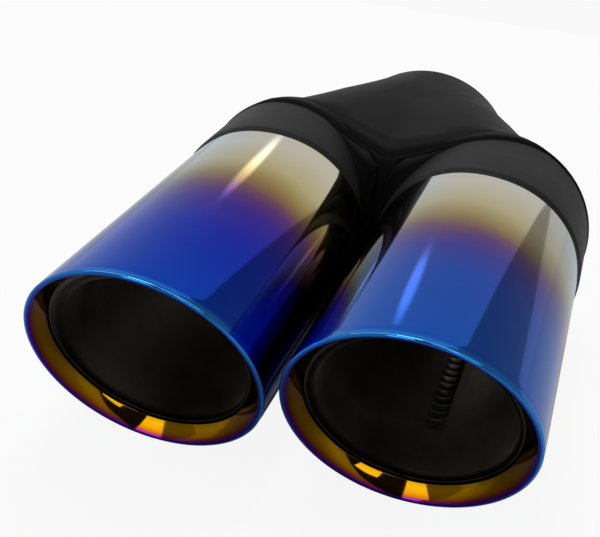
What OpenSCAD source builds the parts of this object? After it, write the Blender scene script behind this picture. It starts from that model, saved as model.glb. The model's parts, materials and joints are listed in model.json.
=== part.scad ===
// Twin exhaust tip: two slash-cut double-wall tips on a pressed Y collector with one inlet pipe.
// Origin at the centre of the inlet pipe's open end. +X right, +Z up, and the tips point along -Y.

/* [Tips] */
// Outside diameter of each tip
tip_od = 89; // [76:0.5:102]
// Sheet thickness of the tips
tip_wall = 1.2; // [0.8:0.1:1.5]
// Distance between the two tip axes
tip_spacing = 94.2; // [92:0.2:130]
// Slant of the mouths, the upper edge being the forward one
slash_angle = 24.4; // [0:0.2:30]
// Length of bare tip from the centre of the mouth to the collar
bare_length = 131.5; // [90:0.5:220]
// Radius of the rolled lip round each mouth
lip_radius = 1.7; // [1.3:0.1:2.4]
// Width of the turned-in band, measured across the mouth plane
band_width = 6.7; // [6:0.1:7.8]
// Depth of the turned-in band behind the mouth plane
band_depth = 6.2; // [5:0.2:7.4]

/* [Liners] */
// Inside diameter of the liner pipes
liner_bore = 70; // [60:0.5:71]
// Wall of the liner pipes
liner_wall = 1.2; // [0.8:0.1:2]
// How far the liners reach into the collector
liner_reach = 4; // [3:0.5:5]
// Width of the weld bead along the floor of a liner
seam_width = 6.6; // [4:0.2:8]
// Height of the weld bead inside a liner
seam_height = 0.9; // [0.5:0.1:1.6]
// Distance between the ripples of the weld bead
seam_pitch = 4.4; // [3:0.1:6]
// Where the weld bead starts behind the centre of the mouth
seam_start = 58; // [40:1:100]

/* [Collars] */
// Wall of the collars that the tips are welded into
collar_wall = 0.9; // [0.6:0.1:2]
// Length of the collars
collar_length = 48; // [30:0.5:70]

/* [Collector] */
// Sheet thickness of the pressed half shells
shell_wall = 1.5; // [1:0.1:2]
// Length over which the two sockets merge into one round barrel
merge_length = 84; // [60:1:120]
// How fast the sockets run together at first, 1 being even
merge_bend = 1.22; // [1:0.02:1.5]
// Radius of the barrel where the sockets have merged
barrel_radius = 45.5; // [42:0.5:52]
// Radius of the two round holes in the front face that the liners pass through
hole_radius = 39; // [38:0.5:42]
// How far the shells' front edge reaches forward over the collars in the middle
edge_reach = 21.5; // [4:0.5:26]
// How far the shells stand proud of the collars behind the edge's ramp
edge_rise = 1; // [0.6:0.1:2]
// Length of the ramp at the front edge
edge_ramp = 3.4; // [2:0.2:5]
// Length of the rounded shoulder behind the front edge
shoulder_length = 8; // [6:0.5:12]
// Distance that each socket centre moves inward over the shoulder
shoulder_pull = 9; // [2:0.2:12]
// Height of the crease between the two sockets at the front edge
valley_height = 33.5; // [28:0.5:40]
// Radius of the crease at the front edge
valley_radius = 6; // [3:0.5:12]
// How far the web between the sockets runs forward of the front edge
web_reach = 12; // [6:0.5:20]
// Height of the web's front end above the joint
web_height = 10; // [8:0.5:16]
// Radius of the hollow between the sockets where they have merged
valley_end_radius = 44; // [36:1:60]
// Length of the neck between the barrel and the inlet
neck_length = 24; // [22:1:60]

/* [Inlet] */
// Inside diameter of the inlet pipe
inlet_bore = 63; // [50:0.5:70]
// Wall of the inlet pipe
inlet_wall = 1.5; // [1.2:0.1:3]
// Length of inlet pipe that stands out of the neck
inlet_length = 12.5; // [10:0.5:70]
// Length of inlet pipe inside the neck
inlet_overlap = 14; // [6:1:16]
// Leg of the weld round the neck's end
weld_leg = 2.6; // [1.5:0.1:4]

/* [Hidden] */

// Clearance between pieces that slide together before they are welded
fit_gap = 0.05;
// Clearance between the collars and the shells' front edge that laps them
lap_gap = 0.2;
tip_r = tip_od / 2;
axis_x = tip_spacing / 2;
collar_r = tip_r + fit_gap + collar_wall;
liner_r = liner_bore / 2 + liner_wall;
inlet_r = inlet_bore / 2 + inlet_wall;
neck_r = inlet_r + fit_gap + shell_wall;

// Stations along the axis, measured backwards from the centre of the mouths
collar_front = bare_length;
shell_front = bare_length + collar_length;
barrel_at = shell_front + merge_length;
neck_end = barrel_at + neck_length;
total_length = neck_end + inlet_length;

// Forward lean of the mouth plane per millimetre of height
lean = tan(slash_angle);

tip_facets = 64;
liner_facets = 60;

// A closed profile of [radius, station, slant, extra height, rise] is carried round the Y axis. Where
// slant is 1 the station leans with the mouth plane, and where it is 0 the section is square to the axis.
module leaning_revolve(profile, facets) {
    rings = len(profile);
    points = [for (p = profile, j = [0:facets - 1])
        let (a = 360 * j / facets, z = (p[0] + p[3]) * sin(a))
        [p[0] * cos(a), p[1] - p[2] * lean * z, z + p[4]]];
    faces = [for (i = [0:rings - 1], j = [0:facets - 1])
        let (n = (i + 1) % rings, k = (j + 1) % facets,
            a = i * facets + j, b = i * facets + k, c = n * facets + k, d = n * facets + j)
        each [[a, c, b], [a, d, c]]];
    polyhedron(points, faces, convexity = 6);
}

function plain_ring(radius, station, slant = 0) = [radius, station, slant, 0, 0];

// A ring inside the mouth, lying square to the mouth plane once it is clear of the rolled lip
function mouth_ring(q) = let (
    inset = q[0],
    depth = q[1],
    square = min(1, max(0, inset / lip_width)))
    [tip_r - inset, depth * (1 + (cos(slash_angle) - 1) * square), 1,
        inset * (1 - cos(slash_angle)) * square, depth * sin(slash_angle) * square];

function curve_point(a, b, c, t) = a * (1 - t) * (1 - t) + b * 2 * t * (1 - t) + c * t * t;

function curve_points(a, b, c, steps, first = 1) =
    [for (i = [first:steps]) curve_point(a, b, c, i / steps)];

function mouth_rings(points) = [for (q = points) mouth_ring(q)];

// Points of the mouth are [distance inside the outer skin, depth behind the mouth plane]. The skin
// runs round the lip, in along the band to its edge, and back along the band's hidden side.
lip_width = 2.6;
lip_points = [for (a = [180:-30:30])
    [lip_radius + lip_radius * cos(a), lip_radius - lip_radius * sin(a)]];
band_start = lip_points[len(lip_points) - 1];
band_lean = 1.3;
band_end = [band_width, band_depth];
band_bend = [band_width - band_lean, 0.47 * band_depth];
band_back = [band_width - tip_wall, band_depth];
band_back_bend = band_back - [0.3 * band_lean, 0.25 * band_depth];
band_root = band_back - [1.5, 0.5 * band_depth];
tip_inner = tip_r - tip_wall;
lip_back = lip_radius + tip_wall + 2.4;
tip_profile = concat(
    [plain_ring(tip_r, shell_front)],
    mouth_rings(lip_points),
    mouth_rings(curve_points(band_start, band_bend, band_end, 5)),
    mouth_rings(curve_points(band_back, band_back_bend, band_root, 3, 0)),
    [plain_ring(tip_inner, lip_back, 1), plain_ring(tip_inner, shell_front)]);

module tip() {
    leaning_revolve(tip_profile, tip_facets);
}

// The liner's front edge is belled out to the band, and its rear end reaches into the collector
liner_inner_r = liner_bore / 2;
bell_length = 7;
bell_edge = mouth_ring([band_width + 0.1, band_depth + 0.4]);
bell_inner = mouth_ring([band_width + 1, band_depth + 0.3]);
function bell_ring(t) = let (k = (1 - t) * (1 - t))
    [liner_inner_r + (bell_inner[0] - liner_inner_r) * k, bell_inner[1] + bell_length * t, 1,
        bell_inner[3] * k, bell_inner[4] * pow(1 - t, 1.5)];
liner_rear = shell_front + liner_reach;
liner_profile = [
    bell_edge,
    bell_inner,
    bell_ring(0.3),
    bell_ring(0.6),
    bell_ring(1),
    plain_ring(liner_inner_r, liner_rear),
    plain_ring(liner_r, liner_rear),
    plain_ring(liner_r, bell_edge[1] + bell_length + liner_wall, 1)];

module liner() {
    leaning_revolve(liner_profile, liner_facets);
}

// Rippled bead along the liner, seated on its inner face
seam_angle = -86.5;
left_seam_angle = 150;
seam_half = seam_width / 2;
seam_sag = seam_height - (liner_inner_r - sqrt(liner_inner_r * liner_inner_r - seam_half * seam_half));
seam_r = (seam_half * seam_half + seam_sag * seam_sag) / (2 * seam_sag);
seam_clear = 6;
seam_facets = 48;
seam_count = floor((shell_front - seam_start - seam_clear) / seam_pitch);
seam_end = seam_count * seam_pitch;
// Height lost by one ripple at its start, at a third, near its crest and at its tail
ripple = [[0.02, 0.5], [0.3, 0.1], [0.55, 0], [0.85, 0.25]];
seam_core = [for (i = [0:seam_count - 1], q = ripple) [seam_r - q[1], (i + q[0]) * seam_pitch]];
seam_seat = liner_inner_r * cos(180 / liner_facets) - fit_gap;

module liner_seam(angle) {
    intersection() {
        rotate([0, -angle, 0])
            translate([liner_inner_r - seam_height + seam_r, seam_start, 0])
                rotate([-90, 0, 0])
                    rotate_extrude($fn = seam_facets)
                        polygon(concat([[0, 0]], seam_core,
                            [[seam_r - ripple[0][1], seam_end], [0, seam_end]]));
        translate([0, seam_start - 1, 0])
            rotate([-90, 0, 0])
                cylinder(r = seam_seat, h = seam_end + 2, $fn = 2 * seam_facets);
    }
}

// Pressed ring that closes the space between liner and tip at the rear
ring_outer = (tip_r - tip_wall) * cos(180 / tip_facets) - fit_gap;
ring_inner = liner_r + fit_gap;
ring_sheet = 1.2;
ring_flange = 6;
ring_clear = 1.5;
module rear_ring() {
    translate([0, shell_front - ring_clear, 0])
        rotate([90, 0, 0])
            rotate_extrude($fn = 96)
                polygon([[ring_inner, 0], [ring_outer, 0], [ring_outer, ring_flange],
                    [ring_outer - ring_sheet, ring_flange], [ring_outer - ring_sheet, ring_sheet],
                    [ring_inner + ring_sheet, ring_sheet], [ring_inner + ring_sheet, ring_flange],
                    [ring_inner, ring_flange]]);
}

module collar() {
    translate([0, collar_front, 0])
        rotate([-90, 0, 0])
            difference() {
                cylinder(r = collar_r, h = collar_length, $fn = 96);
                translate([0, 0, -1])
                    cylinder(r = collar_r - collar_wall, h = collar_length + 2, $fn = 96);
            }
}

// The collector's outline at a distance s is two circles with a hollow between them. At the front
// the circles lie over the collars, and behind the shoulder they run together.
edge_thin = 0.3;
edge_least_rise = 0.25;
edge_flat = 1;
lap_r = collar_r + lap_gap;
valley_drop = lap_r + edge_thin - valley_height;
neck_straight = 8;
neck_curve = neck_length - neck_straight;
function ease(t) = (1 - cos(180 * min(1, max(0, t)))) / 2;
function rise(s) = edge_thin + (edge_rise - edge_thin) * ease(s / edge_ramp);
function shoulder(s) = sin(90 * min(1, max(0, (s - edge_flat) / (shoulder_length - edge_flat))));
function merged(s) = min(1, max(0, (s - shoulder_length) / (merge_length - shoulder_length)));
function half_spacing(s, p) = (axis_x + edge_least_rise - rise(s) - shoulder_pull * shoulder(p))
    * pow(1 - merged(s), merge_bend);
function crown_radius(s) = let (front = lap_r + rise(s))
    front + (barrel_radius - front) * merged(s)
        + (neck_r - barrel_radius) * ease((s - merge_length) / neck_curve);
function middle_height(s, p) = crown_radius(s) - valley_drop * pow(half_spacing(s, p) / axis_x, 2);
function fillet(s) = valley_radius + (valley_end_radius - valley_radius) * min(1, s / merge_length);

outline_steps = 18;

// Where a line from the middle at height h touches the circle of radius r at spacing c
function touch_angle(c, r, h) = atan2(h, -c) - acos(min(1, r / norm([c, h])));

// Right half of an upper outline in evenly spaced points from the middle to the side: a fillet of
// radius v in the middle, a straight flank and the circle's crown
function outline(c, r, h, v) = let (
    touch = touch_angle(c, r, h),
    slope = touch - 90,
    centre = h + v / cos(slope),
    foot = [v * sin(slope), centre - v * cos(slope)],
    top = [c + r * cos(touch), r * sin(touch)],
    dip = v * slope * PI / 180,
    flank = norm(top - foot),
    crown = r * touch * PI / 180,
    total = dip + flank + crown)
    [for (i = [0:outline_steps]) let (u = total * i / outline_steps)
        u < dip ? [v * sin(slope * u / dip), centre - v * cos(slope * u / dip)]
            : u < dip + flank ? foot + (top - foot) * (u - dip) / flank
            : let (a = touch * (total - u) / crown) [c + r * cos(a), r * sin(a)]];

// The same points round the two holes, where the valley's points run down to the joint plane
function seen_angle(p) = atan2(p[1], p[0] - axis_x);
function hole_outline(lap, meet) = concat([[0, 0]],
    [for (i = [1:len(lap) - 1]) let (a = seen_angle(lap[i]),
        b = a > meet ? meet + (a - meet) * (180 - meet) / (seen_angle(lap[1]) - meet) : a)
        [axis_x + hole_radius * cos(b), hole_radius * sin(b)]]);

// The front edge runs forward in a V towards the middle, and the lean fades out behind it
edge_half = axis_x + 21;
edge_least = 0.6;
edge_fade = 40;
function reach(x) = edge_least + edge_reach * max(0, 1 - abs(x) / edge_half);
function lean_left(s) = max(0, 1 - s / edge_fade);

// Where the skin lies over a collar, the shoulder starts behind the collar's end
hold_from = 22;
hold_over = 30;
function hold(x) = min(1, max(0, (x - hold_from) / hold_over));
front_radius = lap_r + edge_thin;
front_half = axis_x + edge_least_rise - edge_thin;
front_outline = outline(front_half, front_radius, valley_height, valley_radius);
held = [for (q = front_outline) hold(q[0]) * reach(q[0])];
function skin_outline(s, inset) = [for (j = [0:outline_steps])
    let (p = s - held[j] * lean_left(s))
    outline(half_spacing(s, p), crown_radius(s) - inset, middle_height(s, p) - inset, fillet(s))[j]];

function outer_ring(s) = [for (p = skin_outline(s, 0))
    [p[0], shell_front + s - reach(p[0]) * lean_left(s), p[1]]];
function under(s, x) = s < edge_fade ? (s + reach(x)) / (1 + reach(x) / edge_fade) : s;
function inner_ring(s) = let (over = skin_outline(s, 0))
    [for (j = [0:len(over) - 1]) let (p = skin_outline(under(s, over[j][0]), shell_wall)[j])
        [p[0], shell_front + s, p[1]]];
function flat_ring(points, s) = [for (p = points) [p[0], shell_front + s, p[1]]];
function edge_ring(points) = [for (p = points) [p[0], shell_front - reach(p[0]), p[1]]];

// The web closes the space under the V of the front edge. It runs forward and down from the edge to
// the collars, and share is 0 over the crown and 1 next to the middle.
web_steps = 3;
web_angle = 150;
web_least = 0.3;
web_rise = 0.3;
function web_ring(points, meet, radius, low, t) = [for (j = [0:len(points) - 1]) let (
    q = points[j],
    a = seen_angle(q),
    share = min(1, max(0, (a - meet) / (seen_angle(points[1]) - meet))),
    b = meet + share * (web_angle - meet),
    r = radius + web_rise * share,
    end = j == 0 ? [0, low] : share > 0 ? [axis_x + r * cos(b), r * sin(b)] : q,
    at = q + (end - q) * t)
    [at[0], shell_front - reach(q[0]) - t * (web_reach * share + web_least), at[1]]];

function whole(q) = concat([for (i = [len(q) - 1:-1:1]) [-q[i][0], q[i][1], q[i][2]]], q);

shoulder_steps = 4;
merge_steps = 8;
neck_steps = 6;
rear_stations = concat(
    [for (i = [2:shoulder_steps]) edge_flat + (shoulder_length - edge_flat) * i / shoulder_steps],
    [for (i = [1:merge_steps]) shoulder_length + (merge_length - shoulder_length) * i / merge_steps],
    [for (i = [1:neck_steps]) merge_length + neck_curve * i / neck_steps],
    [merge_length + neck_length]);
first_bend = edge_flat + (shoulder_length - edge_flat) / shoulder_steps;
stations = concat([0, edge_flat, first_bend], rear_stations);

// Outer skin from front to rear, then inner skin from rear to front, the face with the two
// holes, and the underside of the front edge where it laps the collars
module half_shell() {
    lap_height = valley_height - shell_wall;
    lap = outline(axis_x, lap_r, lap_height, valley_radius);
    lap_meet = touch_angle(axis_x, lap_r, lap_height);
    edge_meet = touch_angle(front_half, front_radius, valley_height);
    holes = hole_outline(lap, lap_meet);
    web = [for (i = [web_steps:-1:1])
        web_ring(front_outline, edge_meet, front_radius, web_height, i / web_steps)];
    web_under = [for (i = [1:web_steps])
        web_ring(lap, lap_meet, lap_r, web_height - 2 * shell_wall, i / web_steps)];
    outer = [for (s = stations) outer_ring(s)];
    inner = [for (i = [len(rear_stations) - 1:-1:0]) inner_ring(rear_stations[i])];
    front = [inner_ring(shell_wall), flat_ring(holes, shell_wall), flat_ring(holes, 0),
        flat_ring(lap, 0), edge_ring(lap)];
    rings = [for (r = concat(web, outer, inner, front, web_under)) whole(r)];
    count = len(rings);
    side = len(rings[0]);
    skin = [for (i = [0:count - 1], j = [0:side - 2])
        let (n = (i + 1) % count, a = i * side + j, b = a + 1, c = n * side + j + 1, d = n * side + j)
        each [[a, c, b], [a, d, c]]];
    // Joint face: ring numbers of the strip between the skins, then of the front edge with its web
    back = count - len(front) - web_steps;
    strip = [for (i = [2:len(stations) - 2]) let (o = i + web_steps, k = back + 2 - i)
        each [[o, o + 1, k - 1], [o, k - 1, k]]];
    lip = [for (i = [0:web_steps]) let (u = count - 1 - i) each [[u, i, i + 1], [u, i + 1, u - 1]]];
    plate = count - 2 - web_steps;
    corner = web_steps + 1;
    nose = [[plate, corner, corner + 1], [plate, corner + 1, back],
        [plate, back, back + 1], [plate, back + 1, back + 2]];
    face = concat(strip, lip, nose);
    last = side - 1;
    left = [for (t = face) [t[2] * side, t[1] * side, t[0] * side]];
    right = [for (t = face) [t[0] * side + last, t[1] * side + last, t[2] * side + last]];
    polyhedron([for (r = rings) each r], concat(skin, left, right), convexity = 8);
}

// Bead along the joint between the half shells
bead_width = 4.4;
bead_rise = 1.1;
bead_section = [[0, -0.5], [0.7, -0.33], [1, 0], [0.7, 0.33], [0, 0.5]];
module side_weld() {
    ridge = [for (i = [2:len(stations) - 1]) let (q = outer_ring(stations[i]), p = q[len(q) - 1])
        [p[0] + fit_gap, p[1], 0]];
    rings = [for (p = ridge) [for (q = bead_section) p + [bead_rise * q[0], 0, bead_width * q[1]]]];
    count = len(rings);
    side = len(bead_section);
    skin = [for (i = [0:count - 2], j = [0:side - 1]) let (k = (j + 1) % side,
        a = i * side + j, b = i * side + k, c = (i + 1) * side + k, d = (i + 1) * side + j)
        each [[a, b, c], [a, c, d]]];
    ends = [[for (j = [side - 1:-1:0]) j], [for (j = [0:side - 1]) (count - 1) * side + j]];
    polyhedron([for (r = rings) each r], concat(skin, ends), convexity = 4);
}

module at_left() {
    translate([-axis_x, -total_length, 0]) children();
}

module at_right() {
    translate([axis_x, -total_length, 0]) children();
}

module at_middle() {
    translate([0, -total_length, 0]) children();
}

module left_tip() {
    color("royalblue") at_left() tip();
}

module right_tip() {
    color("royalblue") at_right() tip();
}

module left_liner() {
    color("dimgray") at_left() liner();
}

module right_liner() {
    color("dimgray") at_right() liner();
}

module left_liner_seam() {
    color("gray") at_left() mirror([1, 0, 0]) liner_seam(left_seam_angle);
}

module right_liner_seam() {
    color("gray") at_right() liner_seam(seam_angle);
}

module left_rear_ring() {
    color("dimgray") at_left() rear_ring();
}

module right_rear_ring() {
    color("dimgray") at_right() rear_ring();
}

module left_collar() {
    color("#343434") at_left() collar();
}

module right_collar() {
    color("#343434") at_right() collar();
}

module upper_shell() {
    color("#282828") at_middle() half_shell();
}

module lower_shell() {
    color("#282828") at_middle() mirror([0, 0, 1]) half_shell();
}

module left_side_weld() {
    color("#303030") at_middle() mirror([1, 0, 0]) side_weld();
}

module right_side_weld() {
    color("#303030") at_middle() side_weld();
}

module inlet_pipe() {
    color("silver")
        rotate([90, 0, 0])
            difference() {
                cylinder(r = inlet_r, h = inlet_length + inlet_overlap, $fn = 96);
                translate([0, 0, -1])
                    cylinder(r = inlet_bore / 2, h = inlet_length + inlet_overlap + 2, $fn = 96);
            }
}

// Fillet weld round the inlet pipe at the neck's end
weld_section = [[1, 0], [0.75, 0.55], [0.4, 0.85]];
module inlet_weld() {
    color("#303030")
        translate([0, -inlet_length, 0])
            rotate([-90, 0, 0])
                rotate_extrude($fn = 96)
                    polygon(concat([[inlet_r + fit_gap, fit_gap]],
                        [for (q = weld_section) [inlet_r + weld_leg * q[0], fit_gap + weld_leg * q[1]]],
                        [[inlet_r + fit_gap, fit_gap + weld_leg]]));
}

left_tip();
right_tip();
left_liner();
right_liner();
left_liner_seam();
right_liner_seam();
left_rear_ring();
right_rear_ring();
left_collar();
right_collar();
upper_shell();
lower_shell();
left_side_weld();
right_side_weld();
inlet_pipe();
inlet_weld();
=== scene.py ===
"""Twin exhaust tip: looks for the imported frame. Metres, in the part's own frame."""

import json
import math

import bmesh
import bpy
import numpy as np
from mathutils import Matrix, Vector

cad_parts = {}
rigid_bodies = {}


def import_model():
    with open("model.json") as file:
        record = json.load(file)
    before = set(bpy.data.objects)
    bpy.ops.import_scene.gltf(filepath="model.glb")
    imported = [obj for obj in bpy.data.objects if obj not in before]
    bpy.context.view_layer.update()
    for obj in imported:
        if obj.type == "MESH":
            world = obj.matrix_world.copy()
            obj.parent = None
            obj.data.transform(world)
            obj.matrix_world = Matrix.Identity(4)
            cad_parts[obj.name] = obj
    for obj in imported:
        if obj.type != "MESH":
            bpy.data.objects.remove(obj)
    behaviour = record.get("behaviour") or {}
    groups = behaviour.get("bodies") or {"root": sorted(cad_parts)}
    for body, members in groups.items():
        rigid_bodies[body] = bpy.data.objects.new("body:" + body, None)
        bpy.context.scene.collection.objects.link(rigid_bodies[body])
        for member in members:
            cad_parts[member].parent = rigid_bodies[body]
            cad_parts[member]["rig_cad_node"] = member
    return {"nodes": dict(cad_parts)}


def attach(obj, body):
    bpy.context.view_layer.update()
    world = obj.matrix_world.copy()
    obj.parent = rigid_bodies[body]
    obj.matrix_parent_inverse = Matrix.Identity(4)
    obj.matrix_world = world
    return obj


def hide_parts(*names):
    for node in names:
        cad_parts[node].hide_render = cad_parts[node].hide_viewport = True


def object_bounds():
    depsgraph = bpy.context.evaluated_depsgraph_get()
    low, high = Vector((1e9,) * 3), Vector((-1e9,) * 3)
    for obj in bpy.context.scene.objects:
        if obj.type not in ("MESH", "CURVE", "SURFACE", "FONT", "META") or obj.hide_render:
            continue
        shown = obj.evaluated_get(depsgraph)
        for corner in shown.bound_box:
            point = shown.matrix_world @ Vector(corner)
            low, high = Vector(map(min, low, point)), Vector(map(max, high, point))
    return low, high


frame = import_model()
cad_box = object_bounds()
scene = bpy.context.scene
scene.view_settings.view_transform = "Standard"

# Sizes in millimetres, as in the part's source; a station counts back from the mouths' centre
TIP_R, TIP_WALL, AXIS_X = 44.5, 1.2, 47.1
SLANT = math.radians(24.4)
LEAN = math.tan(SLANT)
BARE, COLLAR_LENGTH, COLLAR_R = 131.5, 48.0, 45.45
SHELL_FRONT = BARE + COLLAR_LENGTH
LINER_R, LINER_WALL, LINER_REACH = 35.0, 1.2, 4.0
MERGE, NECK, INLET = 84.0, 24.0, 12.5
NECK_CURVE = NECK - 8
TOTAL = SHELL_FRONT + MERGE + NECK + INLET
SHELL_WALL, BARREL_R, HOLE_R = 1.5, 45.5, 39.0
INLET_R, INLET_BORE_R, WELD_LEG, INLET_OVERLAP = 33.0, 31.5, 2.6, 14.0
NECK_R = INLET_R + 0.05 + SHELL_WALL

# The mouth: a rolled lip and a band that turns in. Rings from SQUARE_INSET on stand square to the mouth, and
# the band value, which the tint follows, is found by inset. An arc has start and end degrees and its steps.
LIP_R, BAND_INSET, BAND_DEPTH, SQUARE_INSET = 1.25, 6.7, 6.2, 2.6
BAND_BEND = (BAND_INSET - 2.05, 2.75)
BAND_INSETS = [0.11, 0.77, 1.24, 1.8, 2.56, 3.36, BAND_INSET]
BAND_VALUES = [0.6, 0.8, 0.9, 1.0, 1.15, 1.38, 2.95]
BAND_END = 3.0
LIP_ARC, BAND_STEPS = (-20, -122, 26), 34

# The skin's stations: rings square to the axis, rings with a share of the slant, and the start of the roll
SQUARE_STATIONS = (150.0, 130.0, 110.0, 90.0, 70.0)
LEANING = ((55.0, 0.2), (40.0, 0.45), (26.0, 0.8), (16.0, 1), (12.0, 1), (9.0, 1), (7.5, 1), (6.0, 1))
ROLL_START = ((0.02, 5.0), (0.06, 4.0), (0.14, 3.1))
TIP_SEGMENTS, LINER_SEGMENTS, SLEEVE_SEGMENTS, INLET_SEGMENTS = 288, 192, 256, 160

# The liner's bell: its rings by share of its length, that length, its outside's, and the share over which the
# painted shade on its front fades out
BELL_SHARES = np.linspace(0.12, 1, 9)
BELL_LENGTH, BELL_BACK, FRONT_SHADE_REACH = 7.0, 9.0, 0.9

# Weld beads: a ripple's crest is at CREST_AT of its pitch, and lag bends the ripples into crescents. The
# leads lie beyond a bead's ends, so that it starts and stops with a little height.
CREST_AT, CREST_NARROWING, BEAD_ROUNDNESS = 0.72, 0.05, 0.7
RUN_IN_LEAD, RUN_OUT_LEAD, RUN_OUT = 0.24, 0.6, 2.5
SEAM_FROM, SEAM_TO, SEAM_SINK = 58.0, 168.0, 0.12
SEAM_BEAD = dict(width=8.0, height=1.15, pitch=5.5, ripple=0.75, lag=-0.4, run_in=34.0,
    steps_across=26, steps_per_ripple=18)
SIDE_BEAD = dict(width=4.4, height=1.1, pitch=1.9, ripple=0.3, lag=-0.45, run_in=2.5,
    steps_across=14, steps_per_ripple=8)
RING_STEPS, RING_SECTION_STEPS, RING_RIPPLES = 900, 12, 62

# The collector's front edge, shoulder and valley
EDGE_RISE, EDGE_LEAST_RISE, EDGE_REACH, EDGE_LEAST = 1.2, 0.45, 21.5, 0.6
EDGE_FROM, EDGE_RAMP, EDGE_HALF, EDGE_FADE = -1.0, 3.4, AXIS_X + 21, 40.0
HOLD_FROM, HOLD_OVER = 22.0, 30.0
SHOULDER, SHOULDER_PULL, EDGE_FLAT, MERGE_BEND = 8.0, 9.0, 1.0, 1.22
CROWN_FRONT_R, LAP_R = COLLAR_R + 0.5, COLLAR_R + 0.1
VALLEY_HEIGHT, VALLEY_R, VALLEY_END_R, VALLEY_OPEN = 33.5, 6.0, 44.0, 36
LAP_HEIGHT = VALLEY_HEIGHT - SHELL_WALL
RIM_ROUND = 0.3

# Points across a half outline, and rows along a half shell: on the web, over the edge, its foot and the rest
OUTLINE_STEPS, WEB_ROWS, BARREL_ROWS, NECK_ROWS, INSIDE_ROWS = 96, 34, 44, 16, 16
EDGE_ROWS = [EDGE_FROM + 0.22 * i for i in range(21)]
FOOT_ROWS = [4.0 + 0.5 * i for i in range(8)]

# Shell paint values: painted shade in the crease at the edge's foot and in the slot's depth, and the web's
# lighter paint, dimmed by painted shade near the slot
CREASE_SHADE, CREASE_SHADE_ON_WEB, CREASE_SHADE_FROM, CREASE_SHADE_OVER = 0.75, 2.5, 0.6, 3.0
SLOT_SHADE_FROM, SLOT_SHADE_OVER = 0.8, 9.0
WEB_PAINT_OVER, WEB_PAINT_LEFT_IN_SLOT_SHADE, SLOT_SHADE_FADE_FROM_X, SLOT_SHADE_FADE_OVER_X = 1.5, 0.1, 3, 24

# The web in front of that edge, between the sockets, and the slot that runs down in its middle
WEB_REACH, WEB_DROP, WEB_BLEND, WEB_R = 22.0, 20.0, 2.5, COLLAR_R - 0.04
WEB_SIDE, WEB_SIDE_FADE, WEB_SIDE_CREEP = 32, 22, 0.004
WEB_STEP, WEB_DROP_POWER, WEB_LEAST = 0.02, 1.3, 0.05
SLOT_HALF, SLOT_FLOOR, SLOT_FALL, SLOT_OPENS_OVER = 2.6, 6.0, 7.0, 5.0
SLOT_ROUND, SLOT_ROUND_REACH, SLOT_FLOOR_TURN = 2.2, 5.5, 1.7
SLOT_POINTS, SLOPE_POINT = 8, 20

# The paint's edge on a tip: thickness at the edge, ramp, and how it sweeps back from its foremost point
PAINT_EDGE, SLEEVE_RAMP = 0.015, 5.0
SWEEP, SWEEP_PER_DEGREE, SWEEP_ROUND_DEGREES = 9, 0.115, 12


# Meshes
def mm(points):
    return np.asarray(points, float) / 1000.0


def grid_object(name, rows, wrap_rows=False, wrap_columns=False, attributes=None):
    """A surface through rows of points, in millimetres with Y counted from the mouths' centre."""
    pts = np.asarray(rows, float).copy()
    n, m = pts.shape[:2]
    pts[..., 1] -= TOTAL
    mesh = bpy.data.meshes.new(name)
    faces = []
    for i in range(n if wrap_rows else n - 1):
        k = (i + 1) % n
        for j in range(m if wrap_columns else m - 1):
            q = (j + 1) % m
            faces.append((i * m + j, i * m + q, k * m + q, k * m + j))
    mesh.from_pydata(mm(pts).reshape(-1, 3).tolist(), [], faces)
    mesh.polygons.foreach_set("use_smooth", [True] * len(mesh.polygons))
    for key, values in (attributes or {}).items():
        layer = mesh.attributes.new(key, "FLOAT", "POINT")
        layer.data.foreach_set("value", np.asarray(values, np.float32).reshape(-1))
    mesh.update()
    obj = bpy.data.objects.new(name, mesh)
    scene.collection.objects.link(obj)
    return obj


def dress(obj, material, slot, *nodes):
    obj.data.materials.clear()
    obj.data.materials.append(material)
    if nodes:
        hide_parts(*nodes)
    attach(obj, "root")


def revolve(name, profile, axis_x, segments, attributes=None):
    """Carries a closed profile of (radius, station, slant, extra height of radius, rise) round the Y axis."""
    a = np.linspace(0, 2 * math.pi, segments, endpoint=False)
    rows = []
    for p in profile:
        r, s, slant = p[:3]
        tall, rise = p[3:] if len(p) > 3 else (0, 0)
        z = (r + tall) * np.sin(a)
        rows.append(np.stack([axis_x + r * np.cos(a), s - slant * LEAN * z, z + rise], 1))
    values = {k: np.repeat(np.asarray(v, float)[:, None], segments, 1) for k, v in (attributes or {}).items()}
    return grid_object(name, rows, wrap_rows=True, wrap_columns=True, attributes=values)


def bezier(a, b, c, steps):
    """Points after a on the curve that leaves it toward b and ends at c."""
    a, b, c = (np.asarray(p, float) for p in (a, b, c))
    return [tuple(a * (1 - t) ** 2 + b * 2 * t * (1 - t) + c * t * t)
            for t in (i / steps for i in range(1, steps + 1))]


def arc(centre, radius, start, end, steps):
    return [(centre[0] + radius * math.cos(math.radians(t)), centre[1] + radius * math.sin(math.radians(t)))
            for t in np.linspace(start, end, steps + 1)]


def ease(t):
    """From 0 to 1 as t does, flat at both ends."""
    return (1 - math.cos(math.pi * min(1, max(0, t)))) / 2


def upside_down(rows):
    return [r * np.array([1, 1, -1]) for r in rows]


# Tips and liners
def mouth_ring(inset, depth):
    """A ring inside the mouth: inset from the outer skin and depth behind the mouth plane, square to it."""
    square = min(1.0, max(0.0, inset / SQUARE_INSET))
    back = depth * (1 + (math.cos(SLANT) - 1) * square)
    return (TIP_R - inset, back, 1, inset * (1 - math.cos(SLANT)) * square, depth * math.sin(SLANT) * square)


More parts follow.
